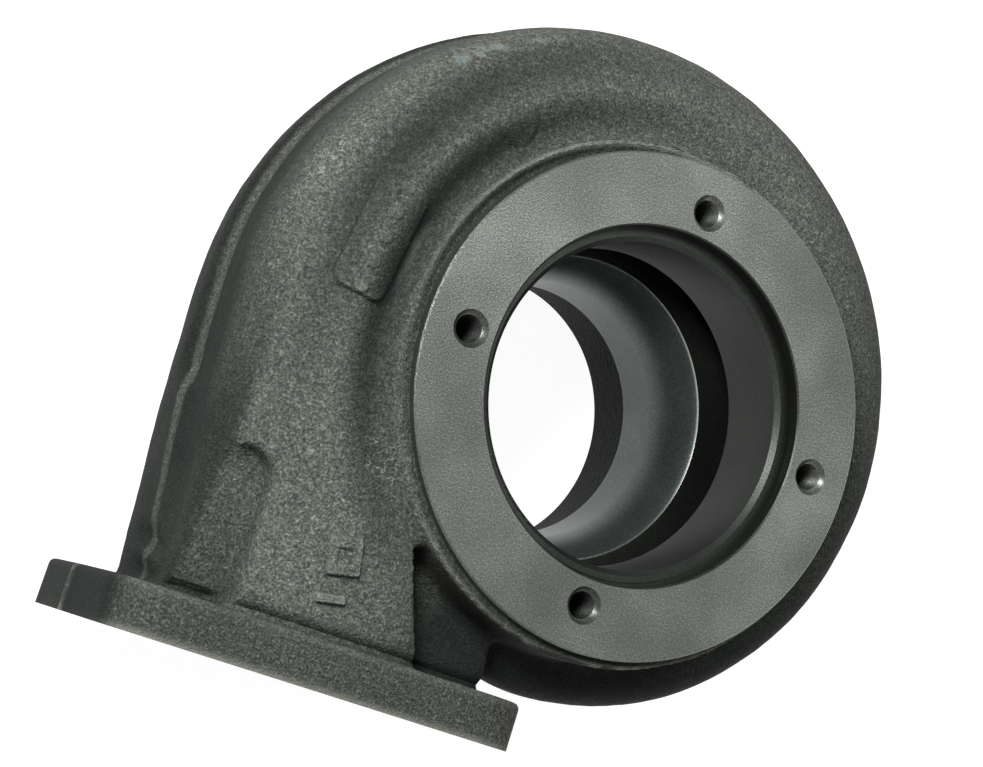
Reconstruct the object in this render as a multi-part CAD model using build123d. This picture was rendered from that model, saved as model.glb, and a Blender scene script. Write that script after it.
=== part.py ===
from build123d import *
from math import cos, radians, sin, tan
import os

# Turbocharger turbine housing, one hollow sand casting in grey iron.
# It is drawn with the bore along Y, from the machined face for the bearing housing at 0 to the outlet,
# with Z away from the inlet flange and X to the right in the front view.
# The last step lays it on its outlet ring, so the machined face looks up and the inlet flange looks to -Y.

# Machined face for the bearing housing
face_r = 62.0
boss_r = 64.5
boss_shift_x = -1.2
boss_depth = 20.0
boss_edge = 2.0

# Spigot counterbore with a flat seat, and bearing side bore
spigot_r = 44.0
spigot_depth = 4.3
seat_edge = 1.2
bearing_bore_r = 40.4

# Nozzle slot that feeds the wheel all round
slot_front = 26.3
slot_back = 40.3
slot_outer_r = 53.0

# Shroud contour behind the slot, throat and outlet
shroud_rim_r = 39.5
shroud_rim_land = 0.8
shroud_lead = 17.0
throat_r = 34.1
throat_start = 57.0
throat_end = 70.6
outlet_mouth_r = 39.0
outlet_face = 95.0

# Tapped holes for the clamp screws, M8
tap_pcd_r = 50.8
tap_count = 4
tap_clocking = 89.0
tap_drill_r = 3.4
tap_depth = 18.0
tap_sink_r = 4.6

# Outlet pipe and its bolting ring
outlet_pipe_r = 46.5
hub_r = 62.0
hub_draft = 2.0
hub_back = 56.0
pipe_start = 70.0
outlet_ring_step = 8.0
outlet_ring_r = outlet_pipe_r + outlet_ring_step
outlet_ring_depth = 12.0
outlet_bevel = 3.5
outlet_hole_edge = 7.7
outlet_pcd_r = outlet_ring_r - outlet_hole_edge
outlet_hole_count = 4
outlet_clocking = 45.0
outlet_drill_r = 3.4
outlet_drill_depth = 10.0
outlet_sink_r = 4.3

# Inlet flange under the neck
flange_drop = 89.0
flange_thickness = 11.5
flange_x = -57.0
flange_y = 38.0
flange_length = 105.0
flange_depth = 76.0
flange_end_draft = 1.8
flange_corner_r = 13.0
flange_edge = 1.2
inlet_hole_dx = 64.0
inlet_hole_dy = 56.0
inlet_hole_r = 4.5

# Scroll stations: turn from the neck, outer radius, front and back
parting_y = 38.0
scroll_stations = [
    (0, 102.5, 2.8, 73.0),
    (28, 102.0, 3.4, 72.0),
    (56, 99.3, 5.2, 70.0),
    (84, 96.0, 7.6, 67.5),
    (112, 93.2, 10.4, 64.5),
    (140, 91.7, 13.4, 61.5),
    (168, 89.7, 16.4, 58.5),
    (196, 86.0, 19.4, 55.5),
    (224, 81.2, 21.8, 52.5),
    (252, 76.6, 23.6, 49.5),
    (270, 74.3, 24.8, 47.0),
]
scroll_inner_r = 52.0
scroll_squareness = 2.5
scroll_tail = 24.0
scroll_tail_rise = 18.0
wall = 5.5
passage_inner_r = 49.5
passage_squareness = 2.2

# Neck stations: height above the flange face, left and right side, front and back, squareness
neck_stations = [
    (5.0, -95.2, -12.0, 3.4, 72.6, 6.0),
    (29.0, -97.0, -13.0, 3.4, 72.6, 5.0),
    (59.0, -100.8, -30.0, 3.0, 73.0, 3.2),
]
passage_stations = [
    (-3.0, -87.0, -27.0, 22.0, 54.0, 5.0),
    (29.0, -88.0, -28.0, 22.0, 54.0, 4.0),
    (59.0, -93.0, -40.0, 19.0, 57.0, 3.0),
]
section_points = 20

# Spanner pockets over the four inlet screws
pocket_floor = 18.0
pocket_lean = 9.0
pocket_half_width = 7.5
pocket_top_r = 6.0
pocket_height = 37.0
corner_cut_x = -34.5
corner_cut_y = 17.0
corner_cut_height = 30.0
corner_cut_lean = 21.0
corner_cut_r = 5.0

# Raised pads on the front of the scroll: place, size and turn, all bare
pad_raise = 1.0
long_pad = (-75.2, 15.5, 38.0, 11.5, 75.0)
round_pad = (-51.6, 54.4, 4.4)
square_pad = (-57.9, -59.2, 8.0, 8.0, -12.0)
bar_pad = (-60.4, -67.8, 7.0, 2.2, -8.0)

# How far cutting tools run past a surface, and the size of a block that passes everything
overrun = 1.0
beyond = 120.0


def section(plane, inner, outer, front, back, squareness):
    """Closed rounded outline between two sides and two depths, in a plane across the flow."""
    half_w = (outer - inner) / 2
    half_d = (back - front) / 2
    points = []
    for i in range(section_points):
        turn = radians(360 * i / section_points)
        c, s = cos(turn), sin(turn)
        reach = (abs(c / half_w) ** squareness + abs(s / half_d) ** squareness) ** (-1 / squareness)
        across = (outer + inner) / 2 + reach * c
        along = (back + front) / 2 + reach * s
        points.append(plane.from_local_coords(Vector(across, along, 0)))
    even = [i / section_points for i in range(section_points + 1)]
    return Face(Wire([Edge.make_spline(points, periodic=True, parameters=even)]))


def across_neck(height):
    """Level plane above the flange face, looking down: local x is left, local y is down the bore."""
    return Plane(origin=(0, 0, height - flange_drop), x_dir=(-1, 0, 0), z_dir=(0, 0, -1))


def across_scroll(turn):
    """Radial plane at a turn from the neck: local x is outward, local y is down the bore."""
    angle = radians(180 - turn)
    outward = (cos(angle), 0, sin(angle))
    return Plane(origin=(0, 0, 0), x_dir=outward, z_dir=(-outward[2], 0, outward[0]))


def casting_body(extra=0.0):
    """Outside of neck and scroll as one lofted horn, grown by extra, with its tail on the neck."""
    faces = []
    for height, left, right, front, back, squareness in neck_stations:
        faces.append(section(across_neck(height), -right - extra, -left + extra,
                             front - extra, back + extra, squareness))
    for turn, outer, front, back in scroll_stations:
        faces.append(section(across_scroll(turn), scroll_inner_r - extra, outer + extra,
                             front - extra, back + extra, scroll_squareness))
    rise = radians(scroll_tail_rise)
    return loft(faces) + extrude(faces[-1], amount=scroll_tail, dir=(-cos(rise), 0, sin(rise)))


def gas_passage():
    """Inside of neck and scroll, a wall smaller than the casting."""
    faces = []
    for height, left, right, front, back, squareness in passage_stations:
        faces.append(section(across_neck(height), -right, -left, front, back, squareness))
    for turn, outer, front, back in scroll_stations:
        faces.append(section(across_scroll(turn), passage_inner_r, outer - wall,
                             front + wall, back - wall, passage_squareness))
    return loft(faces)


def turned(points, corners=(), bevel=0.0):
    """Solid turned about the bore from (radius, depth) points, with some corners bevelled."""
    with BuildPart() as part:
        with BuildSketch() as profile:
            with BuildLine():
                Polyline(*points, close=True)
            make_face()
            if corners:
                chamfer([profile.vertices().sort_by_distance(c)[0] for c in corners], bevel)
        revolve(axis=Axis.Y)
    return part.part


def hub():
    """Centre of the casting: front boss, hub behind the scroll, outlet pipe and ring."""
    ring_start = outlet_face - outlet_ring_depth
    back = turned([
        (0, slot_front), (hub_r - hub_draft, slot_front), (hub_r, hub_back),
        (outlet_pipe_r, pipe_start), (outlet_pipe_r, ring_start), (outlet_ring_r, ring_start),
        (outlet_ring_r, outlet_face), (0, outlet_face),
    ], [(outlet_pipe_r, pipe_start), (outlet_pipe_r, ring_start)], outlet_bevel)
    front = turned([(0, 0), (face_r, 0), (face_r, slot_front), (0, slot_front)])
    rim = boss_edge / 2
    cast_boss = turned([(0, rim), (boss_r, rim), (boss_r, boss_depth), (0, boss_depth)],
                       [(boss_r, rim)], boss_edge)
    return front + Pos(boss_shift_x, 0, 0) * cast_boss + back


def bore_space():
    """Spigot with its seat, bearing side bore and nozzle slot."""
    seat_end = spigot_depth + seat_edge
    return turned([
        (0, -overrun), (spigot_r, -overrun), (spigot_r, spigot_depth),
        (bearing_bore_r + seat_edge, spigot_depth), (bearing_bore_r, seat_end),
        (bearing_bore_r, slot_front), (slot_outer_r, slot_front), (slot_outer_r, slot_back),
        (0, slot_back),
    ])


def shroud_space():
    """Wheel contour from the rim to the throat, then the outlet cone."""
    rim_start = (shroud_rim_r, slot_back - overrun)
    rim_end = (shroud_rim_r, slot_back + shroud_rim_land)
    mouth = (outlet_mouth_r, outlet_face + overrun)
    with BuildPart() as part:
        with BuildSketch():
            with BuildLine():
                Polyline((0, slot_back - overrun), rim_start, rim_end)
                TangentArc(rim_end, (throat_r, throat_start), tangent=(-tan(radians(shroud_lead)), 1))
                Polyline((throat_r, throat_start), (throat_r, throat_end), mouth,
                         (0, outlet_face + overrun), (0, slot_back - overrun))
            make_face()
        revolve(axis=Axis.Y)
    return part.part


def inlet_flange():
    """Flange plate with round corners and a little draft either side of the parting line."""
    half_l = flange_length / 2
    half_d = flange_depth / 2
    bottom = Plane(origin=(flange_x, flange_y, -flange_drop), x_dir=(1, 0, 0), z_dir=(0, 0, 1))
    with BuildPart() as part:
        with BuildSketch(bottom):
            with BuildLine():
                Polyline((-half_l, -half_d), (half_l, -half_d), (half_l + flange_end_draft, 0),
                         (half_l, half_d), (-half_l, half_d), (-half_l - flange_end_draft, 0),
                         close=True)
            make_face()
        extrude(amount=flange_thickness)
        upright = part.edges().filter_by(Axis.Z)
        fillet([e for e in upright if abs(e.center().Y - flange_y) > half_d / 2], flange_corner_r)
        chamfer(part.faces().sort_by(Axis.Z)[-1].edges(), flange_edge)
    return part.part


def screw_pocket(x, side):
    """Cast pocket with a round top that clears one inlet screw; side is -1 in front, 1 behind."""
    top = -flange_drop + flange_thickness
    floor_y = flange_y + side * (flange_y - pocket_floor)
    plane = Plane(origin=(x, floor_y, top), x_dir=(-side, 0, 0), z_dir=(0, side, 0))
    plane = plane.rotated((pocket_lean, 0, 0))
    reach = pocket_height - pocket_top_r
    with BuildPart() as part:
        with BuildSketch(plane):
            with BuildLine():
                Polyline((-pocket_half_width, 0), (pocket_half_width, 0), (pocket_top_r, reach),
                         (-pocket_top_r, reach), close=True)
            make_face()
            with Locations((0, reach)):
                Circle(pocket_top_r)
        extrude(amount=flange_y)
    return part.part


def corner_cut(side):
    """Open step with a leaning wall at the neck's right corners, over the other inlet screws."""
    top = -flange_drop + flange_thickness
    block = Box(beyond, beyond, 2 * corner_cut_height, align=(Align.MIN, Align.MIN, Align.CENTER))
    inner_edge = block.edges().filter_by(Axis.Z).group_by(Axis.X)[0].sort_by(Axis.Y)[0]
    block = fillet(inner_edge, corner_cut_r)
    if side < 0:
        block = mirror(block, Plane.XZ)
    cut_y = flange_y + side * (flange_y - corner_cut_y)
    return Pos(corner_cut_x, cut_y, top) * Rot(0, -corner_cut_lean, 0) * block


def drilled_ring(depth_plane, inward, pcd_r, count, clocking, drill_r, depth, sink_r):
    """Ring of drilled holes with a countersink, cut from a face across the bore."""
    holes = []
    for i in range(count):
        turn = radians(clocking + 360 * i / count)
        place = Plane(origin=(pcd_r * cos(turn), depth_plane, pcd_r * sin(turn)), z_dir=(0, inward, 0))
        drill = extrude(place * Circle(drill_r), amount=depth)
        sink = loft([place * Circle(sink_r), place.offset(sink_r - drill_r) * Circle(drill_r)])
        holes += [drill, sink]
    return holes


def raised_pads():
    """Prisms over the raised pads, to be met with a grown copy of the casting."""
    front = Plane(origin=(0, 0, 0), x_dir=(1, 0, 0), z_dir=(0, -1, 0))
    x, z, length, width, lean = long_pad
    with BuildPart() as part:
        with BuildSketch(front):
            with Locations(Location((x, z, 0), (0, 0, lean))):
                SlotOverall(length, width)
            with Locations(round_pad[:2]):
                Circle(round_pad[2])
            for x, z, length, width, lean in (square_pad, bar_pad):
                with Locations(Location((x, z, 0), (0, 0, lean))):
                    Rectangle(length, width)
        extrude(amount=-parting_y)
    return part.part


def turbine_housing():
    """The whole casting with its machining, drawn with the bore along Y."""
    top = -flange_drop + flange_thickness
    body = casting_body() + (casting_body(pad_raise) & raised_pads())
    for side in (-1, 1):
        body -= screw_pocket(flange_x - inlet_hole_dx / 2, side)
        body -= corner_cut(side)
    body += inlet_flange()
    body += hub()
    body -= gas_passage()
    body -= bore_space()
    body -= shroud_space()
    body -= drilled_ring(0, 1, tap_pcd_r, tap_count, tap_clocking,
                         tap_drill_r, tap_depth, tap_sink_r)
    body -= drilled_ring(outlet_face, -1, outlet_pcd_r, outlet_hole_count, outlet_clocking,
                         outlet_drill_r, outlet_drill_depth, outlet_sink_r)
    for dx in (-inlet_hole_dx / 2, inlet_hole_dx / 2):
        for dy in (-inlet_hole_dy / 2, inlet_hole_dy / 2):
            body -= Pos(flange_x + dx, flange_y + dy, top) * Cylinder(inlet_hole_r, 3 * flange_thickness)
    return body


laid_on_outlet = Rot(-90, 0, 0)
os.makedirs("parts", exist_ok=True)
export_step(laid_on_outlet * turbine_housing(), "parts/turbine_housing.step")
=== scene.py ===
from math import atan2, copysign, cos, degrees, hypot, pi, radians, sin

import bmesh
import bpy
import numpy as np
from mathutils import Matrix, Vector, noise


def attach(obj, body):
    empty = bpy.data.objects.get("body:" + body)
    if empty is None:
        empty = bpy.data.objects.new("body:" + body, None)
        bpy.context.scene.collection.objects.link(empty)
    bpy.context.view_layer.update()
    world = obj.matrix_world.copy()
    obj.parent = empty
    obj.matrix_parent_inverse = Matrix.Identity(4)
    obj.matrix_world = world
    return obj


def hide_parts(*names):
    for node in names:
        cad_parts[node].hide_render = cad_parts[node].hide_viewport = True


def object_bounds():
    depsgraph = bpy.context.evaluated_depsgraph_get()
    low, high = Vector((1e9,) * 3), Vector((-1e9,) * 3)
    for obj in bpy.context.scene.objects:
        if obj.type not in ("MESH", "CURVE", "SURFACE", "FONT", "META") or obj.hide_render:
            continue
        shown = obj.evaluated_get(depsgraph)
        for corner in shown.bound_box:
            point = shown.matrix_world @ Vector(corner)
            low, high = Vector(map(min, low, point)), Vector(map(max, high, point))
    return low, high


# Turbine housing of a turbocharger: one sand casting of grey iron with turned, bored and tapped
# places. Shapes are made in millimetres with the bore along Y and the neck along -Z, as the
# casting is drawn. The finished mesh is laid on its outlet ring and scaled to metres.

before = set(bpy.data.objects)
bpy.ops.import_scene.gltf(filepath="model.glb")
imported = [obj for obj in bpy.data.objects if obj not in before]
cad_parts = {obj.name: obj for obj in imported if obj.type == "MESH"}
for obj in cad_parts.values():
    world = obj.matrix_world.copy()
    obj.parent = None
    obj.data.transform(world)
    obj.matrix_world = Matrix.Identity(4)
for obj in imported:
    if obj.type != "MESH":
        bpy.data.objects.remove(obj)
cad_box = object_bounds()

# Sections of scroll and neck, and of the gas passage in them. Travel along the flow is negative
# in the straight neck, and in the scroll it grows with the turn.
parting_y = 38.0
travel_per_degree = 1.3095
horn_rows = [
    # travel, inner side, outer side, front, back, squareness
    (-91.0, 12.0, 95.2, 6.6, 69.4, 6.0),
    (-60.0, 13.0, 97.0, 5.4, 70.6, 5.0),
    (-30.0, 30.0, 100.8, 3.6, 72.4, 3.2),
    (0.0, 52.0, 102.5, 2.8, 73.0, 2.5),
    (36.7, 52.0, 102.0, 3.4, 72.0, 2.5),
    (73.3, 52.0, 99.3, 5.2, 70.0, 2.5),
    (110.0, 52.0, 96.0, 7.6, 67.5, 2.5),
    (146.7, 52.0, 93.2, 10.4, 64.5, 2.5),
    (183.3, 52.0, 91.7, 13.4, 61.5, 2.5),
    (220.0, 52.0, 89.7, 16.4, 58.5, 2.5),
    (256.6, 52.0, 86.0, 19.4, 55.5, 2.5),
    (293.3, 52.0, 81.2, 21.8, 52.5, 2.5),
    (330.0, 52.0, 76.6, 23.6, 49.5, 2.5),
    (353.5, 52.0, 74.3, 24.8, 47.0, 2.5),
    (385.0, 50.0, 69.0, 26.0, 45.0, 2.5),
]
passage_rows = [
    (-93.0, 27.0, 87.0, 22.0, 54.0, 5.0),
    (-60.0, 28.0, 88.0, 22.0, 54.0, 4.0),
    (-30.0, 40.0, 93.0, 19.0, 57.0, 3.0),
    (0.0, 49.5, 97.0, 8.3, 67.5, 2.2),
    (36.7, 49.5, 96.5, 8.9, 66.5, 2.2),
    (110.0, 49.5, 90.5, 13.1, 62.0, 2.2),
    (183.3, 49.5, 86.2, 18.9, 56.0, 2.2),
    (256.6, 49.5, 80.5, 24.9, 50.0, 2.2),
    (330.0, 49.5, 71.1, 29.1, 44.0, 2.2),
    (353.5, 49.5, 68.8, 30.3, 41.5, 2.2),
]

# The front half draws in towards the parting plane and leaves a lip there, which runs out
# along the scroll
lip_step, lip_end, lip_fade, lip_curve = 3.0, 190.0, 110.0, 1.5

# Boss under the bearing face, hub, outlet pipe with its ring, and inlet flange
boss_r, boss_shift_x, boss_front, boss_depth = 64.5, -1.2, 1.2, 26.0
hub_r, hub_draft, hub_back = 62.0, 2.0, 56.0
pipe_r, pipe_draft, pipe_start = 46.5, 1.0, 70.0
ring_r, ring_start, outlet_face = 54.5, 83.0, 95.0
flange_mid, flange_half = (-57.0, 38.0), (52.5, 38.0)
flange_bottom, flange_top = -89.0, -77.5
flange_end_draft, flange_corner_r, flange_edge = 1.8, 13.0, 1.5
flange_root_inset = 0.8
flash_half, flash_height = 0.7, 0.5
machining_stock = 2.0

# Spanner pockets at the neck's outer corners, and steps with a leaning wall at its inner ones
pocket_half, pocket_top_r, pocket_reach = 7.5, 6.0, 31.0
pocket_floor, pocket_lean, pocket_cutter = 18.0, 9.0, 40.0
step_x, step_floor, step_lean = -34.5, 17.0, -21.0
step_cutter = (0, -140, -30), (110, 0, 30)

# Raised pads on the front: middle, length, width, turn in degrees and corner radius. The round
# one is given by its middle and radius, and is half as high with a softer slope.
long_pad = (-77.4, 13.4, 29.0, 13.2, 82.0, 3.2)
square_pad = (-61.3, -58.2, 8.4, 9.0, 12.0, 0.8)
bar_pad = (-61.1, -68.3, 7.2, 2.2, 10.0, 0.6)
round_pad, round_pad_slope = (-52.8, 52.8, 5.2), 0.6
pad_rise, pad_slope, pad_margin = 1.3, 0.25, 1.2
pip_rise, pip_r, pip_gap, pips_each_way = 0.7, 1.7, 6.4, 2

# Hollows on the front. The ledge runs beside the bearing face and is deepest at its angle.
ledge_drop, ledge_least, ledge_half, ledge_angle, ledge_spread = 4.5, 0.35, 4.5, 125.0, 80.0
# Depth, distance out, half width, angle and half spread, around the boss and along the scroll
boss_valley = (2.4, 70.0, 7.0, 165.0, 105.0)
flute = (2.2, 86.0, 9.0, 150.0, 75.0)
# Across the neck behind the flange
root_hollow, root_hollow_up, root_hollow_half = 2.2, 0.8, 2.6
# Pads and hollows lie in front of this depth, where the skin faces forward
front_end, facing_from, facing_fade = parting_y - 8.0, 0.1, 0.3
# Unevenness of the mould as sizes and heights
mould_swell, mould_ripple = (11.0, 0.16), (3.2, 0.07)
skin_below_face = 0.3

# Painted shade, held in the skin's colour: on the sides and back, on the outer side of neck and
# flange, in the recess under the boss, in the valleys and beside the steps, and less toward the
# front and the top
upper_z, upper_z_fade, upper_x, upper_x_fade = -40.0, 60.0, 20.0, 40.0
side_shade_from, side_shade_fade, side_shade_delay = 10.0, 14.0, 4.0
corner_shade, corner_x, corner_x_fade, corner_y, corner_y_fade = 0.9, 91.0, 3.0, 5.0, 4.0
recess_mid, recess_shade_r, recess_shade_fade = (-8.0, 30.0, -78.0), 52.0, 26.0
# Share of painted shade, then two places with their half widths
flute_shade = (0.8, 85.5, 13.0, 148.0, 90.0)
boss_shade = (1.0, 72.0, 12.0, 165.0, 110.0)
step_shade = (0.45, -36.0, 14.0, -55.0, 30.0)

# Machining
face_r, face_chamfer, disc_depth = 62.0, 0.45, 8.0
spigot_r, spigot_depth, spigot_chamfer = 44.0, 4.3, 0.4
groove_width, groove_depth = 0.9, 0.6
bore_r, seat_edge = 40.4, 1.2
slot_front, slot_back, slot_r = 26.3, 40.3, 53.0
throat_r, throat_start, throat_end = 34.1, 57.0, 70.6
mouth_r = 39.0
rim_r, rim_chamfer = 39.5, 0.4
contour_steps, contour_curve = 12, 1.9
tap_ring_r, tap_count, tap_clocking = 50.8, 4, 89.0
tap_core_r, tap_thread_r, tap_pitch, tap_depth, tap_sink_r = 3.4, 4.0, 1.25, 18.0, 4.6
outlet_ring_hole_r, outlet_clocking, outlet_hole_depth = 46.8, 45.0, 10.0
inlet_hole_dx, inlet_hole_dy, inlet_hole_r, inlet_drill_half = 64.0, 56.0, 4.5, 16.0
below_flange = (-200, -60, -140), (140, 160, flange_bottom)
behind_ring = (-140, outlet_face, -140), (140, 160, 140)
overrun, overlap = 3.0, 1.0

# Mesh fineness
voxel, weld, turned_weld = 1.35, 0.002, 0.0005
turn_steps, tap_steps, drill_steps = 160, 36, 40
ring_points, travel_step = 96, 4.0
fine_mid, fine_half = 4.0, 5.0
crisp_angle = 32.0


def millimetres_to_place():
    """Turns the drawn frame to the laid one, in metres."""
    return Matrix.Scale(0.001, 4) @ Matrix.Rotation(radians(-90), 4, "X")


def share(value):
    """Value kept between zero and one."""
    return min(1.0, max(0.0, value))


def bell(distance, half):
    """One at the middle of a groove, falling smoothly to zero at its sides."""
    return cos(min(1.0, abs(distance) / half) * pi / 2) ** 2


def patch(row, one, other):
    """Strength of a smooth patch, given as its strength and two places with half widths."""
    strength, one_mid, one_half, other_mid, other_half = row
    return strength * bell(one - one_mid, one_half) * bell(other - other_mid, other_half)


def around_bore(x, z):
    """Distance from the bore, angle about it, and distance out, which runs straight in the neck."""
    reach = hypot(x, z)
    return reach, degrees(atan2(z, x)) % 360, reach if z > 0 else -x


def row_at(rows, travel):
    """Smoothly blended row of section sizes at a distance along the flow."""
    last = len(rows) - 2
    i = max(k for k in range(last + 1) if k == 0 or rows[k][0] <= travel)
    a, b = rows[i], rows[i + 1]
    before = rows[max(i - 1, 0)]
    after = rows[min(i + 2, last + 1)]
    span = b[0] - a[0]
    t = (travel - a[0]) / span
    blended = []
    for k in range(1, 6):
        slope_a = (b[k] - before[k]) / (b[0] - before[0]) * span
        slope_b = (after[k] - a[k]) / (after[0] - a[0]) * span
        blended.append((2 * t ** 3 - 3 * t ** 2 + 1) * a[k] + (t ** 3 - 2 * t ** 2 + t) * slope_a
                       + (3 * t ** 2 - 2 * t ** 3) * b[k] + (t ** 3 - t ** 2) * slope_b)
    return blended


def horn_point(travel, around, row, lip):
    """Point on the rounded section at a distance along the flow."""
    inner, outer, front, back, squareness = row
    c, s = cos(around), sin(around)
    out = (inner + outer) / 2 + (outer - inner) / 2 * copysign(abs(c) ** (2 / squareness), c)
    depth = (front + back) / 2 + (back - front) / 2 * copysign(abs(s) ** (2 / squareness), s)
    if lip and c > 0 and depth < parting_y:
        along = share((lip_end - travel) / lip_fade)
        out -= lip * along * max(0.0, (depth - front) / (parting_y - front)) ** lip_curve
    if travel < 0:
        return Vector((-out, depth, travel))
    turn = pi - radians(travel / travel_per_degree)
    return Vector((out * cos(turn), depth, out * sin(turn)))


def horn(rows, lip=0.0):
    """Closed horn: a ring of points pushed along the flow and shaped to each section."""
    bm = bmesh.new()
    place = bm.verts.layers.float.new("around")
    bmesh.ops.create_circle(bm, segments=ring_points, radius=1.0)
    bm.verts.ensure_lookup_table()
    for i, v in enumerate(bm.verts):
        v[place] = 2 * pi * i / ring_points
    first, last = rows[0][0], rows[-1][0]
    steps = round((last - first) / travel_step)
    ring = list(bm.edges)
    caps = [ring]
    for k in range(steps + 1):
        travel = first + (last - first) * k / steps
        row = row_at(rows, travel)
        if k:
            made = bmesh.ops.extrude_edge_only(bm, edges=ring)["geom"]
            points = [g for g in made if isinstance(g, bmesh.types.BMVert)]
            ring = [g for g in made if isinstance(g, bmesh.types.BMEdge)
                    and g.verts[0] in points and g.verts[1] in points]
        else:
            points = list(bm.verts)
        for v in points:
            v.co = horn_point(travel, v[place], row, lip)
    caps.append(ring)
    for cap in caps:
        bmesh.ops.contextual_create(bm, geom=cap)
    bmesh.ops.recalc_face_normals(bm, faces=bm.faces)
    return bm


def turned(profile, steps=turn_steps):
    """Closed solid turned about Y from (radius, depth) points that start and end on the axis."""
    bm = bmesh.new()
    verts = [bm.verts.new((r, y, 0)) for r, y in profile]
    edges = [bm.edges.new(pair) for pair in zip(verts, verts[1:])]
    bmesh.ops.spin(bm, geom=verts + edges, cent=(0, 0, 0), axis=(0, 1, 0),
                   angle=2 * pi, steps=steps, use_merge=True)
    bmesh.ops.remove_doubles(bm, verts=bm.verts, dist=turned_weld)
    bmesh.ops.dissolve_degenerate(bm, edges=bm.edges, dist=turned_weld)
    bmesh.ops.recalc_face_normals(bm, faces=bm.faces)
    return bm


def block(low, high):
    """Rectangular block between two corners."""
    bm = bmesh.new()
    bmesh.ops.create_cube(bm, size=1.0)
    size = Vector(high) - Vector(low)
    bmesh.ops.scale(bm, vec=size, verts=bm.verts)
    bmesh.ops.translate(bm, vec=Vector(low) + size / 2, verts=bm.verts)
    return bm


def prism(outline, push):
    """Outline pushed out to a prism."""
    bm = bmesh.new()
    base = bm.faces.new([bm.verts.new(point) for point in outline])
    pushed = bmesh.ops.extrude_face_region(bm, geom=[base])["geom"]
    bmesh.ops.translate(bm, vec=push,
                        verts=[g for g in pushed if isinstance(g, bmesh.types.BMVert)])
    return bm


def flange_outline(inset):
    """Outline of the inlet flange: drafted ends that meet at the parting plane in a thin flash."""
    points = []
    for side in (-1, 1):
        end = flange_mid[0] + side * (flange_half[0] - inset)
        crown = end + side * (flange_end_draft - flash_height)
        reach = side * (flange_half[1] - inset)
        points += [(end, flange_mid[1] - reach),
                   (crown, flange_mid[1] - side * flash_half),
                   (crown + side * flash_height, flange_mid[1]),
                   (crown, flange_mid[1] + side * flash_half),
                   (end, flange_mid[1] + reach)]
    return points


def flange_block(inset, top, top_edge=0.0):
    """Inlet flange with its four corners rounded, and its upper edge where a radius is given."""
    low = flange_bottom - machining_stock
    bm = prism([(x, y, low) for x, y in flange_outline(inset)], (0, 0, top - low))
    corners = [e for e in bm.edges if abs((e.verts[0].co - e.verts[1].co).z) > (top - low) / 2
               and abs(e.verts[0].co.y - flange_mid[1]) > flange_half[1] / 2]
    bmesh.ops.bevel(bm, geom=corners, offset=flange_corner_r, segments=8, profile=0.5,
                    affect="EDGES", material=-1)
    if top_edge:
        rim = [e for e in bm.edges if min(e.verts[0].co.z, e.verts[1].co.z) > top - 0.01]
        bmesh.ops.bevel(bm, geom=rim, offset=top_edge, segments=3, profile=0.5,
                        affect="EDGES", material=-1)
    bmesh.ops.recalc_face_normals(bm, faces=bm.faces)
    return bm


def moved(bm, matrix):
    """The same mesh, moved by a matrix."""
    bmesh.ops.transform(bm, matrix=matrix, verts=bm.verts)
    return bm


def on_half(bm, matrix, side):
    """The mesh moved to the casting's front half, or to its mirror image in the back half."""
    if side > 0:
        mirror = Matrix.Scale(-1, 4, (0, 1, 0))
        matrix = Matrix.Translation((0, 2 * parting_y, 0)) @ mirror @ matrix
    moved(bm, matrix)
    bmesh.ops.recalc_face_normals(bm, faces=bm.faces)
    return bm


def spanner_pocket(side):
    """Round-topped pocket cut into the neck over an inlet screw."""
    outline = [(-pocket_half, 0, 0), (pocket_half, 0, 0)]
    for a in range(0, 181, 15):
        outline.append((pocket_top_r * cos(radians(a)), 0,
                        pocket_reach + pocket_top_r * sin(radians(a))))
    matrix = Matrix.Translation((flange_mid[0] - inlet_hole_dx / 2, pocket_floor, flange_top))
    matrix = matrix @ Matrix.Rotation(radians(pocket_lean), 4, "X")
    return on_half(prism(outline, (0, -pocket_cutter, 0)), matrix, side)


def corner_step(side):
    """Step with a leaning wall cut into the neck's inner corner."""
    matrix = Matrix.Translation((step_x, step_floor, flange_top))
    matrix = matrix @ Matrix.Rotation(radians(step_lean), 4, "Y")
    return on_half(block(*step_cutter), matrix, side)


def tapped_hole(depth):
    """Cutter for a threaded hole with a countersink, from its mouth at zero along Y."""
    sink_step, crest, runout, below_thread, drill_point = 0.2, 0.1, 0.3, 1.0, 1.5
    y = tap_sink_r - tap_core_r
    profile = [(0, -overlap), (tap_sink_r, -overlap), (tap_sink_r, 0.0),
               (tap_core_r + sink_step, y)]
    while y + tap_pitch < depth - below_thread:
        profile += [(tap_core_r, y + crest), (tap_thread_r, y + tap_pitch / 2)]
        y += tap_pitch
    profile += [(tap_core_r, y + runout), (tap_core_r, depth), (0, depth + drill_point)]
    return turned(profile, tap_steps)


def as_object(name, bm, material=None):
    """Object made from a bmesh, which is freed."""
    mesh = bpy.data.meshes.new(name)
    bm.to_mesh(mesh)
    bm.free()
    if material:
        mesh.materials.append(material)
    obj = bpy.data.objects.new(name, mesh)
    bpy.context.scene.collection.objects.link(obj)
    return obj


def one_mesh(name, parts, material):
    """One object from several bmeshes, still overlapping."""
    whole = bmesh.new()
    for part in parts:
        mesh = bpy.data.meshes.new("part")
        part.to_mesh(mesh)
        part.free()
        whole.from_mesh(mesh)
        bpy.data.meshes.remove(mesh)
    return as_object(name, whole, material)


def settled(obj):
    """Applies an object's modifiers to its mesh."""
    evaluated = obj.evaluated_get(bpy.context.evaluated_depsgraph_get())
    mesh = bpy.data.meshes.new_from_object(evaluated)
    obj.modifiers.clear()
    old = obj.data
    obj.data = mesh
    bpy.data.meshes.remove(old)


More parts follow.
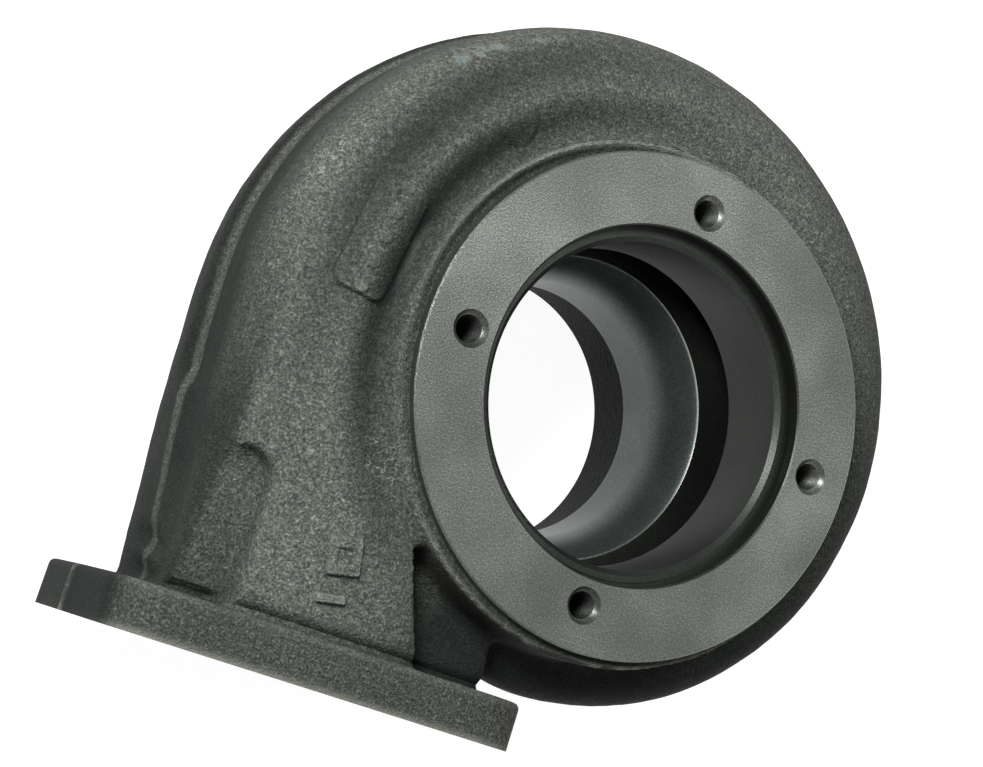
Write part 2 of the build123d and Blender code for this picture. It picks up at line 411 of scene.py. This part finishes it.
def combined(obj, shape, operation, material=None):
    """Adds or cuts a shape, which leaves its material on the faces that it makes."""
    tool = as_object("tool", shape, material)
    step = obj.modifiers.new("machine", "BOOLEAN")
    step.operation = operation
    step.object = tool
    step.solver = "EXACT"
    step.material_mode = "TRANSFER"
    settled(obj)
    bpy.data.objects.remove(tool)


def melted(obj):
    """Merges overlapping forms into one skin of even small faces."""
    step = obj.modifiers.new("melt", "REMESH")
    step.mode = "VOXEL"
    step.voxel_size = voxel
    step.adaptivity = 0.0
    settled(obj)


def softened(obj, times, hollow, edge):
    """Fills hollows and rounds edges as a sand mould does, each by its own share."""
    mesh = obj.data
    co = np.empty(len(mesh.vertices) * 3)
    mesh.vertices.foreach_get("co", co)
    co = co.reshape(-1, 3)
    pairs = np.empty(len(mesh.edges) * 2, dtype=np.int64)
    mesh.edges.foreach_get("vertices", pairs)
    one, other = pairs.reshape(-1, 2).T
    count = np.bincount(np.concatenate([one, other]), minlength=len(co))[:, None]
    for _ in range(times):
        mesh.vertices.foreach_set("co", co.ravel())
        mesh.update()
        normal = np.empty(len(co) * 3)
        mesh.vertex_normals.foreach_get("vector", normal)
        normal = normal.reshape(-1, 3)
        total = np.zeros_like(co)
        np.add.at(total, one, co[other])
        np.add.at(total, other, co[one])
        pull = total / count - co
        is_hollow = (pull * normal).sum(1, keepdims=True) > 0
        co = co + pull * np.where(is_hollow, hollow, edge)
    mesh.vertices.foreach_set("co", co.ravel())
    mesh.update()


def slab(x, z, pad):
    """Distance outside a round-cornered pad, and the place along and across it."""
    px, pz, length, width, lean, corner = pad
    c, s = cos(radians(lean)), sin(radians(lean))
    u, v = (x - px) * c + (z - pz) * s, -(x - px) * s + (z - pz) * c
    du, dv = abs(u) - length / 2 + corner, abs(v) - width / 2 + corner
    return hypot(max(du, 0), max(dv, 0)) + min(max(du, dv), 0) - corner, u, v


def step_up(distance, slope=pad_slope):
    """One inside an outline, zero outside it, with a short slope between."""
    return share(0.5 - distance / (2 * slope))


def pad_height(x, z):
    """Height of the raised pads and of the plain pips on them, and how near the nearest one is."""
    long_out, along, across = slab(x, z, long_pad)
    square_out, square_along, square_across = slab(x, z, square_pad)
    bar_out = slab(x, z, bar_pad)[0]
    round_out = hypot(x - round_pad[0], z - round_pad[1]) - round_pad[2]
    height = pad_rise * max(step_up(long_out), step_up(square_out), step_up(bar_out))
    height = max(height, pad_rise / 2 * step_up(round_out, round_pad_slope))
    if long_out < 0:
        nearest = pip_gap * min(pips_each_way, max(-pips_each_way, round(along / pip_gap)))
        height += pip_rise * step_up(hypot(along - nearest, across) - pip_r)
    height -= pip_rise * step_up(max(abs(square_along), abs(square_across)) - pip_r)
    return height, min(long_out, square_out, bar_out, round_out)


def hollow_depth(x, z):
    """Depth of the hollows beside the bearing face, around its boss and along the scroll."""
    reach, angle, out = around_bore(x, z)
    deepening = ledge_least + (1 - ledge_least) * bell(angle - ledge_angle, ledge_spread)
    ledge = ledge_drop * deepening * bell(reach - face_r, ledge_half)
    return ledge + patch(boss_valley, reach, angle) + patch(flute, out, angle)


def painted_shade_at(x, y, z):
    """Share of painted shade at a place on the skin, held in its colour."""
    reach, angle, out = around_bore(x, z)
    upper = share((z - upper_z) / upper_z_fade) * share((upper_x - x) / upper_x_fade)
    on_side = (y - side_shade_from - side_shade_delay * upper) / side_shade_fade
    in_corner = (corner_shade * share((-x - corner_x) / corner_x_fade)
                 * share((y - corner_y) / corner_y_fade) * (1 - upper))
    in_recess = 0.0
    if z > flange_top + 0.1:
        away = hypot(hypot(x - recess_mid[0], z - recess_mid[2]), y - recess_mid[1])
        in_recess = (recess_shade_r - away) / recess_shade_fade
    return share(max(on_side, in_corner, in_recess, patch(flute_shade, out, angle),
                     patch(boss_shade, reach, angle), patch(step_shade, x, z)))


def linear(hex_colour):
    """Linear colour from an sRGB hex value."""
    out = []
    for i in (1, 3, 5):
        c = int(hex_colour[i:i + 2], 16) / 255
        out.append(c / 12.92 if c <= 0.04045 else ((c + 0.055) / 1.055) ** 2.4)
    return (*out, 1.0)


def per_metre(size_mm):
    """Texture scale for a pattern of a real size."""
    return 1000.0 / size_mm


def wire(tree, made, inputs):
    """Gives a node's inputs their values, or links them to other nodes' outputs."""
    for socket, value in inputs.items():
        if isinstance(value, bpy.types.NodeSocket):
            tree.links.new(value, made.inputs[socket])
        else:
            made.inputs[socket].default_value = value


def node(tree, kind, inputs=(), output=0, stops=(), **settings):
    """Adds a node with its settings, inputs and, for a ramp, stops, and gives one output."""
    made = tree.nodes.new(kind)
    for key, value in settings.items():
        setattr(made, key, value)
    wire(tree, made, dict(inputs))
    if stops:
        elements = made.color_ramp.elements
        while len(elements) < len(stops):
            elements.new(0.5)
        for element, (position, colour) in zip(elements, stops):
            element.position = position
            element.color = linear(colour)
    return made.outputs[output]


def new_material(name):
    """Material with its node tree, its shader and the place on the casting that patterns read."""
    material = bpy.data.materials.new(name)
    material.use_nodes = True
    tree = material.node_tree
    place = node(tree, "ShaderNodeTexCoord", output="Object")
    return material, tree, tree.nodes["Principled BSDF"], place


def seen_directly(tree):
    """One for rays from the camera, off polished metal and through glass, which see white."""
    camera, glossy, through = [node(tree, "ShaderNodeLightPath", output=ray) for ray in
                               ("Is Camera Ray", "Is Glossy Ray", "Is Transmission Ray")]
    either = node(tree, "ShaderNodeMath", {0: camera, 1: glossy}, operation="MAXIMUM")
    return node(tree, "ShaderNodeMath", {0: either, 1: through}, operation="MAXIMUM")


# Sockets of a Mix node, whose names repeat: its factor, its two values or colours, and its colour
factor, value_a, value_b, colour_a, colour_b, colour_out = 0, 2, 3, 6, 7, 2

# Colour of the painted shade, its reach into inner corners in metres, and where it thins along the
# flash on the parting plane
painted_shade_colour = "#1b1f1d"
crevice_reach = 0.007
flash_inner, flash_fade, flash_shade = 0.001, 0.0025, 0.25

# Scratches down to the metal and pale dabs: place, reach, width of their streaks and colour
mark_strength, streak_length = 0.6, 4.0
handling_marks = [
    (-95.5, 13.0, 30.0, 9.0, 0.016, "#a9aca4"),
    (-97.0, 12.0, 22.0, 7.0, 0.016, "#a9aca4"),
    (-58.5, 5.0, -34.0, 8.0, 0.014, "#a9aca4"),
    (-70.5, 11.0, 64.0, 3.4, 0.12, "#7c8787"),
    (-66.5, 11.0, 68.0, 4.6, 0.12, "#7c8787"),
    (-62.0, 11.0, 71.0, 3.6, 0.12, "#7c8787"),
    (-53.0, 11.0, 78.0, 4.2, 0.12, "#7c8787"),
    (-47.0, 11.0, 81.0, 3.4, 0.12, "#7c8787"),
    (-38.0, 11.0, 85.5, 3.0, 0.12, "#7c8787"),
]


def sand_cast_iron(name, dark, mid, light, pale_and_edge_highlight, grain_mm, relief, edge_mm, edge_highlight):
    """Grey iron as it leaves the sand: the grain of the mould as relief, and clouds of scale.

    The sides and back, the outer side of neck and flange, the recess under the boss and the
    valleys are darkened as painted shade, thinner along the flash on the parting plane and toward
    the front and top. Outer edges are lightened as a painted highlight, inner corners darkened as
    painted shade, and handling has left a few scratches and pale dabs.
    The scale scatters nearly all light, so the skin is rough and has next to no gloss.
    """
    material, tree, shader, place = new_material(name)
    grain = node(tree, "ShaderNodeTexNoise", {
        "Vector": place, "Scale": per_metre(grain_mm), "Detail": 2.0, "Roughness": 0.6})
    lumps = node(tree, "ShaderNodeTexNoise", {
        "Vector": place, "Scale": per_metre(grain_mm * 2.4), "Detail": 1.0})
    cloud = node(tree, "ShaderNodeTexNoise", {
        "Vector": place, "Scale": per_metre(26.0), "Detail": 4.0, "Roughness": 0.55})
    height = node(tree, "ShaderNodeMix", {factor: 0.25, value_a: grain, value_b: lumps},
                  data_type="FLOAT")
    tone = node(tree, "ShaderNodeMix", {factor: 0.15, value_a: height, value_b: cloud},
                data_type="FLOAT")
    colour = node(tree, "ShaderNodeValToRGB", {"Fac": tone},
                  stops=[(0.36, dark), (0.50, mid), (0.62, light), (0.72, pale_and_edge_highlight)])

    # Painted shade in inner corners, then a painted highlight on outer edges
    crevice = node(tree, "ShaderNodeAmbientOcclusion", {"Distance": crevice_reach},
                   output="AO", samples=6)
    out_of_crevice = node(tree, "ShaderNodeMapRange", {
        "Value": crevice, "From Min": 0.35, "From Max": 0.9, "To Min": 0.35, "To Max": 1.0})
    colour = node(tree, "ShaderNodeMix", {
        factor: out_of_crevice, colour_a: linear(painted_shade_colour), colour_b: colour},
        output=colour_out, data_type="RGBA")
    edge = node(tree, "ShaderNodeAmbientOcclusion", {"Distance": edge_mm / 1000},
                output="AO", samples=6, inside=True)
    highlit = node(tree, "ShaderNodeMapRange", {
        "Value": edge, "From Min": 0.82, "From Max": 0.5, "To Min": 0.0, "To Max": edge_highlight})
    colour = node(tree, "ShaderNodeMix", {
        factor: highlit, colour_a: colour, colour_b: linear(pale_and_edge_highlight)},
        output=colour_out, data_type="RGBA")

    # Painted shade from the stored share, with a ragged edge, thinner on the flash
    shade_share = node(tree, "ShaderNodeAttribute", output="Fac", attribute_name="painted_shade_share")
    ragged = node(tree, "ShaderNodeMath", {0: cloud, 1: 0.7, 2: shade_share}, operation="MULTIPLY_ADD")
    scale = node(tree, "ShaderNodeMapRange", {
        "Value": ragged, "From Min": 0.35, "From Max": 1.35, "To Min": 0.0, "To Max": 0.92})
    depth = node(tree, "ShaderNodeSeparateXYZ", {"Vector": place}, output="Z")
    off_flash = node(tree, "ShaderNodeMath", {0: depth, 1: parting_y / 1000}, operation="ADD")
    from_flash = node(tree, "ShaderNodeMath", {0: off_flash}, operation="ABSOLUTE")
    flash = node(tree, "ShaderNodeMapRange", {
        "Value": from_flash, "From Min": flash_inner, "From Max": flash_fade,
        "To Min": flash_shade, "To Max": 1.0})
    painted_shade_cover = node(tree, "ShaderNodeMath", {0: scale, 1: flash}, operation="MULTIPLY")
    colour = node(tree, "ShaderNodeMix", {
        factor: painted_shade_cover, colour_a: colour, colour_b: linear(painted_shade_colour)},
        output=colour_out, data_type="RGBA")

    # Marks as thin level lines of a noise, each within reach of its place
    streaks = node(tree, "ShaderNodeTexNoise", {
        "Vector": place, "Scale": per_metre(streak_length), "Detail": 2.0, "Roughness": 0.6})
    from_line = node(tree, "ShaderNodeMath", {0: streaks, 1: 0.5}, operation="SUBTRACT")
    off_line = node(tree, "ShaderNodeMath", {0: from_line}, operation="ABSOLUTE")
    for x, y, z, reach, line_width, chalk in handling_marks:
        away = node(tree, "ShaderNodeVectorMath", {0: place, 1: (x / 1000, z / 1000, -y / 1000)},
                    output="Value", operation="DISTANCE")
        near = node(tree, "ShaderNodeMapRange", {
            "Value": away, "From Min": reach / 1000, "From Max": reach / 2000,
            "To Min": 0.0, "To Max": mark_strength})
        on_line = node(tree, "ShaderNodeMapRange", {
            "Value": off_line, "From Min": line_width, "From Max": 0.0,
            "To Min": 0.0, "To Max": 1.0})
        mark = node(tree, "ShaderNodeMath", {0: near, 1: on_line}, operation="MULTIPLY")
        colour = node(tree, "ShaderNodeMix", {
            factor: mark, colour_a: colour, colour_b: linear(chalk)},
            output=colour_out, data_type="RGBA")

    bump = node(tree, "ShaderNodeBump", {
        "Height": height, "Strength": relief, "Distance": grain_mm / 1000 * 1.2})
    wire(tree, shader, {"Base Color": colour, "Normal": bump, "Roughness": 0.6,
                        "Specular IOR Level": 0.04})
    return material


def turned_iron(name, dark, mid, light, roughness, relief, metallic):
    """Machined grey iron: fine speckle of graphite in a satin grey.

    The flakes of graphite are too fine to show, so the speckle is drawn at 0.45 mm.
    """
    material, tree, shader, place = new_material(name)
    speckle = node(tree, "ShaderNodeTexNoise", {
        "Vector": place, "Scale": per_metre(0.45), "Detail": 2.0, "Roughness": 0.7})
    cloud = node(tree, "ShaderNodeTexNoise", {
        "Vector": place, "Scale": per_metre(35.0), "Detail": 3.0, "Roughness": 0.5})
    tone = node(tree, "ShaderNodeMix", {factor: 0.4, value_a: speckle, value_b: cloud},
                data_type="FLOAT")
    colour = node(tree, "ShaderNodeValToRGB", {"Fac": tone},
                  stops=[(0.36, dark), (0.50, mid), (0.64, light)])
    bump = node(tree, "ShaderNodeBump", {
        "Height": speckle, "Strength": relief, "Distance": 0.0002})
    wire(tree, shader, {"Base Color": colour, "Normal": bump, "Roughness": roughness,
                        "Metallic": metallic})
    return material


# Grey iron cast in sand and blasted: a dull speckled grey. The sand's grain of about 0.3 mm is
# too fine to show, so it is drawn at 0.6 mm.
skin = sand_cast_iron("sand_cast_iron", "#363834", "#555852", "#777a72", "#a8aba2",
                      grain_mm=0.6, relief=1.0, edge_mm=2.2, edge_highlight=0.45)
# The same iron on the flange, darkened all over as painted shade, with a wider and stronger painted
# highlight on its edges
shaded_flange_skin = sand_cast_iron("sand_cast_iron_flange_shaded", "#292b28", "#40423e", "#5e615b", "#898c83",
                             grain_mm=0.6, relief=1.0, edge_mm=3.0, edge_highlight=0.7)
# Iron cast against the core's coarser sand: nearly black, as painted shade inside the passages
inside = sand_cast_iron("sand_cast_iron_inside_shaded", "#161716", "#242523", "#363835", "#484b47",
                        grain_mm=1.1, relief=0.8, edge_mm=2.0, edge_highlight=0.2)
# Finely turned faces: a satin grey that takes a soft sheen from the lamps
facing = turned_iron("turned_iron_face", "#454944", "#5b5f5a", "#7c817a",
                     roughness=0.36, relief=0.7, metallic=0.75)
# Bored walls: an even satin, darkened as painted shade inside the bore
bored = turned_iron("bored_iron", "#20221f", "#2b2e2b", "#383b37",
                    roughness=0.36, relief=0.2, metallic=0.75)
# Wheel contour, bored finest: a smooth cool grey
contour = turned_iron("bored_iron_contour", "#3f4643", "#535a57", "#676e6a",
                      roughness=0.38, relief=0.1, metallic=0.8)
# Chamfer where the contour begins, cut last: a bright thin line of painted highlight
rim_highlight = turned_iron("turned_iron_edge_highlight", "#9a9f98", "#b0b5ae", "#c6cac4",
                       roughness=0.25, relief=0.0, metallic=0.9)
# Tapped and drilled holes: dark walls with glints on the threads
threaded = turned_iron("tapped_iron", "#2c2e2c", "#424541", "#5e615c",
                       roughness=0.35, relief=0.1, metallic=0.8)

# Outside of the casting, as overlapping forms that are melted together with cast fillets.
# The neck is cut by its pockets and steps before boss and flange are melted on.
neck = as_object("neck", horn(horn_rows, lip_step), skin)
for side in (-1, 1):
    combined(neck, spanner_pocket(side), "DIFFERENCE")
    combined(neck, corner_step(side), "DIFFERENCE")
neck_form = bmesh.new()
neck_form.from_mesh(neck.data)
bpy.data.objects.remove(neck)
boss = moved(turned([(0, boss_front), (boss_r, boss_front), (boss_r, boss_depth),
                     (0, boss_depth)]), Matrix.Translation((boss_shift_x, 0, 0)))
rear = turned([
    (0, slot_front), (hub_r - hub_draft, slot_front), (hub_r, hub_back),
    (pipe_r + pipe_draft, pipe_start), (pipe_r, ring_start), (ring_r, ring_start),
    (ring_r, outlet_face + machining_stock), (0, outlet_face + machining_stock),
])
flange_root = flange_block(flange_root_inset, flange_top - flange_root_inset)
housing = one_mesh("housing_casting", [neck_form, boss, rear, flange_root], skin)
melted(housing)
softened(housing, times=2, hollow=0.5, edge=0.5)
softened(housing, times=6, hollow=0.5, edge=0.06)
softened(housing, times=1, hollow=0.4, edge=0.4)

# Finer faces at the ledge and the pads, and finer again at the pads. Then the pads are raised,
# the hollows sunk, and the skin given the gentle unevenness of the mould.
bm = bmesh.new()
bm.from_mesh(housing.data)
for level in range(2):
    fine = set()
    for face in bm.faces:
        middle = face.calc_center_median()
        if middle.y < front_end and face.normal.y < -0.3:
            beyond_face = hypot(middle.x, middle.z) - face_r
            at_ledge = level == 0 and abs(beyond_face - fine_mid) < fine_half
            if at_ledge or pad_height(middle.x, middle.z)[1] < pad_margin:
                fine.update(face.edges)
    bmesh.ops.subdivide_edges(bm, edges=[edge for edge in bm.edges if edge in fine], cuts=1,
                              use_grid_fill=True)
bm.normal_update()
for v in bm.verts:
    x, y, z = v.co
    if y < front_end:
        facing_front = share((-v.normal.y - facing_from) / facing_fade)
        v.co += v.normal * pad_height(x, z)[0] * facing_front
        v.co.y += hollow_depth(x, z) * facing_front
        v.co.y += root_hollow * bell(z - flange_top - root_hollow_up, root_hollow_half)
    v.co += v.normal * (noise.noise(v.co / mould_swell[0]) * mould_swell[1]
                        + noise.noise(v.co / mould_ripple[0]) * mould_ripple[1])
    v.co.y = max(v.co.y, skin_below_face)
bm.to_mesh(housing.data)
bm.free()
combined(housing, flange_block(0.0, flange_top, flange_edge), "UNION", shaded_flange_skin)

# Turned disc around the bore, then the cuts
disc = turned([(0, 0), (face_r - face_chamfer, 0), (face_r, face_chamfer), (face_r, disc_depth),
               (0, disc_depth)])
combined(housing, disc, "UNION", facing)
groove_floor = spigot_depth + groove_depth
bore = turned([
    (0, -overrun), (spigot_r + spigot_chamfer, -overrun), (spigot_r + spigot_chamfer, 0),
    (spigot_r, spigot_chamfer), (spigot_r, groove_floor),
    (spigot_r - groove_width, groove_floor), (spigot_r - groove_width, spigot_depth),
    (bore_r + seat_edge, spigot_depth), (bore_r, spigot_depth + seat_edge),
    (bore_r, slot_front), (slot_r, slot_front), (slot_r, slot_back), (0, slot_back),
])
contour_start = slot_back + rim_chamfer
shroud_profile = [(0, slot_back - overlap), (rim_r, slot_back - overlap)]
for k in range(contour_steps + 1):
    t = k / contour_steps
    shroud_profile.append((throat_r + (rim_r - throat_r) * (1 - t) ** contour_curve,
                           contour_start + (throat_start - contour_start) * t))
shroud_profile += [(throat_r, throat_end), (0, throat_end)]
rim_cut = turned([(0, slot_back - overlap), (rim_r + rim_chamfer + overlap, slot_back - overlap),
                  (rim_r, contour_start), (0, contour_start)])
outlet = turned([(0, throat_end - overlap), (throat_r, throat_end - overlap),
                 (throat_r, throat_end), (mouth_r, outlet_face + overrun),
                 (0, outlet_face + overrun)])
for shape, material in [
    (bore, bored), (turned(shroud_profile), contour), (rim_cut, rim_highlight), (outlet, inside),
    (horn(passage_rows), inside), (block(*below_flange), facing), (block(*behind_ring), facing),
]:
    combined(housing, shape, "DIFFERENCE", material)
for i in range(tap_count):
    turn = radians(tap_clocking + 360 * i / tap_count)
    at = Matrix.Translation((tap_ring_r * cos(turn), 0, tap_ring_r * sin(turn)))
    combined(housing, moved(tapped_hole(tap_depth), at), "DIFFERENCE", threaded)
    turn = radians(outlet_clocking + 360 * i / tap_count)
    at = Matrix.Translation((outlet_ring_hole_r * cos(turn), outlet_face,
                             outlet_ring_hole_r * sin(turn))) @ Matrix.Rotation(pi, 4, "X")
    combined(housing, moved(tapped_hole(outlet_hole_depth), at), "DIFFERENCE", threaded)
for dx in (-inlet_hole_dx / 2, inlet_hole_dx / 2):
    for dy in (-inlet_hole_dy / 2, inlet_hole_dy / 2):
        drill = turned([(0, -inlet_drill_half), (inlet_hole_r, -inlet_drill_half),
                        (inlet_hole_r, inlet_drill_half), (0, inlet_drill_half)], drill_steps)
        at = Matrix.Translation((flange_mid[0] + dx, flange_mid[1] + dy, flange_bottom))
        at = at @ Matrix.Rotation(pi / 2, 4, "X")
        combined(housing, moved(drill, at), "DIFFERENCE", threaded)

# Laid on its outlet ring and shaded: smooth skin, crisp machined edges
bm = bmesh.new()
bm.from_mesh(housing.data)
bmesh.ops.remove_doubles(bm, verts=bm.verts, dist=weld)
# Share of painted shade at each point, read by the skin's colour
shade_layer = bm.verts.layers.float.new("painted_shade_share")
for v in bm.verts:
    v[shade_layer] = painted_shade_at(*v.co)
moved(bm, millimetres_to_place())
for face in bm.faces:
    face.smooth = True
for edge in bm.edges:
    if len(edge.link_faces) == 2:
        edge.smooth = edge.calc_face_angle(0.0) < radians(crisp_angle)
bm.to_mesh(housing.data)
bm.free()
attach(housing, "root")
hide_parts("turbine_housing")

# Floor: grey paper that takes the casting's shadow and glows nearly white to the camera
floor_glow = 0.95
floor_bm = bmesh.new()
bmesh.ops.create_grid(floor_bm, x_segments=1, y_segments=1, size=2.0)
bmesh.ops.translate(floor_bm, vec=(0, 0, cad_box[0][2]), verts=floor_bm.verts)
paper, tree, shader, _ = new_material("matt_white_paper")
wire(tree, shader, {"Base Color": linear("#8c8c8a"), "Roughness": 0.9})
glow = node(tree, "ShaderNodeMath", {0: seen_directly(tree), 1: floor_glow}, operation="MULTIPLY")
lit = node(tree, "ShaderNodeEmission", {"Strength": glow})
both = node(tree, "ShaderNodeAddShader", {0: shader.outputs[0], 1: lit})
wire(tree, tree.nodes["Material Output"], {"Surface": both})
floor = as_object("floor", floor_bm, paper)

# Plain soft studio light, and a white background
world_light = 0.11
world = bpy.data.worlds.new("studio")
bpy.context.scene.world = world
world.use_nodes = True
tree = world.node_tree
soft = tree.nodes["Background"]
wire(tree, soft, {"Color": (1, 1, 1, 1), "Strength": world_light})
white = node(tree, "ShaderNodeBackground", {"Color": (1, 1, 1, 1), "Strength": 1.0})
chosen = node(tree, "ShaderNodeMixShader", {0: seen_directly(tree), 1: soft.outputs[0], 2: white})
wire(tree, tree.nodes["World Output"], {"Surface": chosen})
softboxes = [
    # name, place, point that it faces, width, watts
    ("key", (-0.38, 0.12, 0.40), (-0.02, 0, -0.03), 0.16, 4.6),
    ("top_fill", (0.12, 0.40, 0.54), (0, 0, -0.02), 0.30, 1.8),
    ("back_fill", (0.45, -0.35, 0.25), (0, 0, -0.05), 0.30, 0.4),
]
for name, place, aim, width, watts in softboxes:
    lamp = bpy.data.lights.new(name, "AREA")
    lamp.size = width
    lamp.energy = watts
    box = bpy.data.objects.new(name, lamp)
    bpy.context.scene.collection.objects.link(box)
    box.location = place
    box.rotation_euler = (Vector(aim) - Vector(place)).to_track_quat("-Z", "Y").to_euler()

# Camera where the photograph was taken from. Its lens is 2000 pixels on a picture 983 wide.
camera = bpy.data.cameras.new("camera")
camera.sensor_width = 36.0
camera.lens = 73.245
camera.clip_start = 0.01
eye = bpy.data.objects.new("camera", camera)
bpy.context.scene.collection.objects.link(eye)
eye.location = (-0.23326, -0.08829, 0.41750)
eye.rotation_euler = (radians(1.2948), radians(-26.3742), radians(19.4647))
bpy.context.scene.camera = eye

bpy.context.scene.view_settings.view_transform = "Standard"
